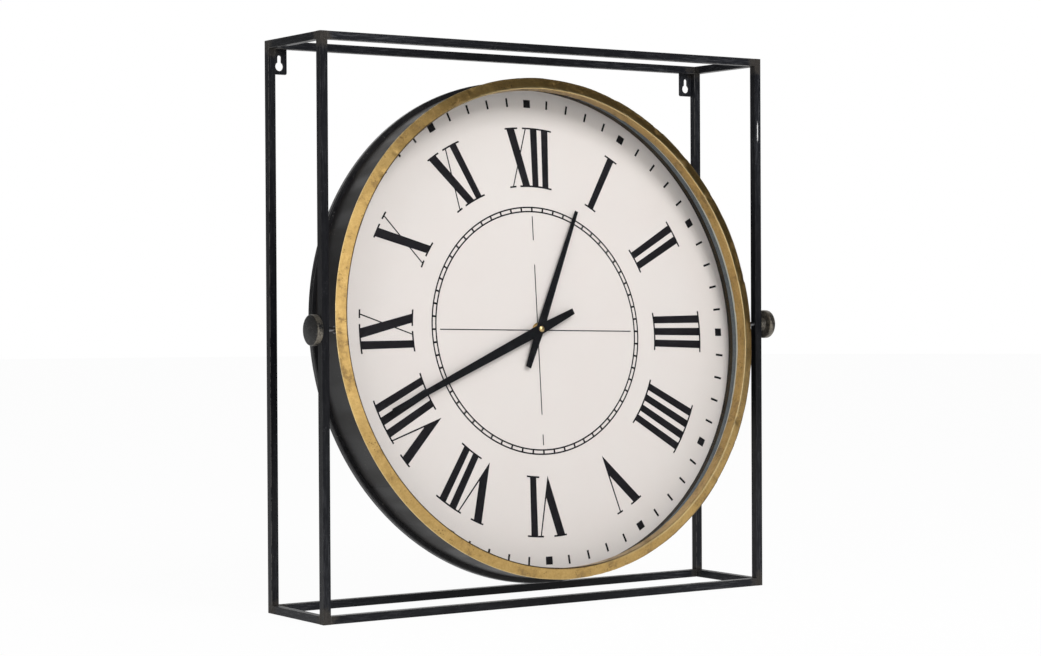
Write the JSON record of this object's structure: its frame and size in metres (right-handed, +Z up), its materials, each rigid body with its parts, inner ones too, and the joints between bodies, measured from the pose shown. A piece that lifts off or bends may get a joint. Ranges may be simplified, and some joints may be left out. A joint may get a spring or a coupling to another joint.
{
  "type": "swivel clock",
  "caption": "Round glazed clock head with Roman numerals and a brass-coloured bezel, tilting on side clamp knobs inside an open square-bar box frame with keyhole hanger tabs.",
  "frame": {"origin": "on the standing surface, on the underside of the front bottom rail, straight below the middle of the head's tilt axis", "axes": "the dial faces -Y, the right side seen from the front is +X, and +Z is up"},
  "size_m": [0.636, 0.1618, 0.6396],
  "materials": {
    "frame_iron": "satin black paint over iron bar, rubbed at the edges",
    "knob_gunmetal": "dark gunmetal, turned, with lighter streaks",
    "bright_steel": "zinc-plated steel",
    "drum_paint": "dark grey paint on sheet iron",
    "rim_black": "black paint",
    "bezel_brass": "antique gold, mottled and lightly dented",
    "glass": "clear flat glass",
    "grey_seal": "blue-grey foam rubber",
    "spacer_black": "black plastic strip",
    "dial_face": "off-white printed board",
    "ink": "black printing ink",
    "hand_black": "black-lacquered aluminium sheet",
    "brass": "turned brass",
    "black_rubber": "soft black rubber",
    "case_plastic": "black moulded plastic",
    "board": "green circuit board",
    "copper": "enamelled copper wire",
    "wheel_plastic": "natural acetal",
    "knob_plastic": "light grey plastic",
    "battery_jacket": "printed steel jacket"
  },
  "bodies": {
    "frame": {"front_left_post": "frame_iron", "front_right_post": "frame_iron", "back_left_post": "frame_iron", "back_right_post": "frame_iron", "front_top_rail": "frame_iron", "front_bottom_rail": "frame_iron", "back_top_rail": "frame_iron", "back_bottom_rail": "frame_iron", "left_top_bar": "frame_iron", "left_bottom_bar": "frame_iron", "right_top_bar": "frame_iron", "right_bottom_bar": "frame_iron", "left_hanger_tab": "frame_iron", "right_hanger_tab": "frame_iron"},
    "head": {"pivot_spacers": "bright_steel", "pivot_washers": "bright_steel", "pivot_nuts": "bright_steel", "drum_band": "drum_paint", "rear_rim": "rim_black", "back_cover": "rim_black", "cover_screws": "bright_steel", "bezel": "bezel_brass", "glass": "glass", "glass_seal": "grey_seal", "dial_spacer": "spacer_black", "rear_spacer": "spacer_black", "dial": "dial_face", "numerals": "ink", "minute_track": "ink", "dial_lines": "ink", "fixing_nut": "brass", "brass_washer": "brass", "rubber_washer": "black_rubber", "case_front": "case_plastic", "case_back": "case_plastic", "circuit_board": "board", "coil": "copper", "stator": "bright_steel", "battery": "battery_jacket", "contact_plus": "bright_steel", "contact_minus": "bright_steel"},
    "left_clamp": {"left_knob": "knob_gunmetal", "left_stud": "bright_steel"},
    "right_clamp": {"right_knob": "knob_gunmetal", "right_stud": "bright_steel"},
    "minute": {"minute_arbor": "wheel_plastic", "minute_hand": "hand_black", "cap_nut": "brass"},
    "hour": {"hour_wheel": "wheel_plastic", "hour_hand": "hand_black"},
    "minute_work": {"minute_wheel": "wheel_plastic"},
    "setting": {"setting_knob": "knob_plastic"},
    "second": {"second_wheel": "wheel_plastic"},
    "rotor": {"rotor": "wheel_plastic"},
    "intermediate": {"intermediate_wheel": "wheel_plastic"},
    "third": {"third_wheel": "wheel_plastic"},
    "centre": {"centre_wheel": "wheel_plastic"}
  },
  "joints": [
    {"name": "head_tilt", "type": "hinge", "parent": "frame", "child": "head", "pos_m": [0, 0, 0.31778], "axis": [1, 0, 0], "continuous": true},
    {"name": "left_clamp_turn", "type": "hinge", "parent": "frame", "child": "left_clamp", "pos_m": [-0.305, 0, 0.31778], "axis": [-1, 0, 0], "range_deg": [0, 180]},
    {"name": "right_clamp_turn", "type": "hinge", "parent": "frame", "child": "right_clamp", "pos_m": [0.305, 0, 0.31778], "axis": [1, 0, 0], "range_deg": [0, 180]},
    {"name": "minute_turn", "type": "hinge", "parent": "head", "child": "minute", "pos_m": [0, 0.02485, 0.31504], "axis": [0, 0.994, -0.1097], "continuous": true},
    {"name": "hour_turn", "type": "hinge", "parent": "head", "child": "hour", "pos_m": [0, 0.02684, 0.31482], "axis": [0, 0.994, -0.1097], "continuous": true},
    {"name": "minute_wheel_turn", "type": "hinge", "parent": "head", "child": "minute_work", "pos_m": [0.00722, 0.03906, 0.30711], "axis": [0, 0.994, -0.1097], "continuous": true},
    {"name": "setting_turn", "type": "hinge", "parent": "head", "child": "setting", "pos_m": [0.01682, 0.03904, 0.30691], "axis": [0, 0.994, -0.1097], "continuous": true},
    {"name": "second_turn", "type": "hinge", "parent": "head", "child": "second", "pos_m": [0, 0.03976, 0.31339], "axis": [0, 0.994, -0.1097], "continuous": true},
    {"name": "rotor_turn", "type": "hinge", "parent": "head", "child": "rotor", "pos_m": [0.01233, 0.04107, 0.32523], "axis": [0, 0.994, -0.1097], "continuous": true},
    {"name": "intermediate_turn", "type": "hinge", "parent": "head", "child": "intermediate", "pos_m": [0.00466, 0.0406, 0.32104], "axis": [0, 0.994, -0.1097], "continuous": true},
    {"name": "third_turn", "type": "hinge", "parent": "head", "child": "third", "pos_m": [-0.009, 0.03978, 0.31358], "axis": [0, 0.994, -0.1097], "continuous": true},
    {"name": "centre_turn", "type": "hinge", "parent": "head", "child": "centre", "pos_m": [0, 0.03976, 0.31339], "axis": [0, 0.994, -0.1097], "continuous": true}
  ],
  "couplings": [
    {"joint": "hour_turn", "follows": "minute_turn", "ratio": 0.083333},
    {"joint": "minute_wheel_turn", "follows": "minute_turn", "ratio": -0.33333},
    {"joint": "setting_turn", "follows": "minute_turn", "ratio": 1},
    {"joint": "intermediate_turn", "follows": "second_turn", "ratio": -5},
    {"joint": "rotor_turn", "follows": "second_turn", "ratio": 30},
    {"joint": "third_turn", "follows": "second_turn", "ratio": -0.125},
    {"joint": "centre_turn", "follows": "second_turn", "ratio": 0.016667}
  ]
}
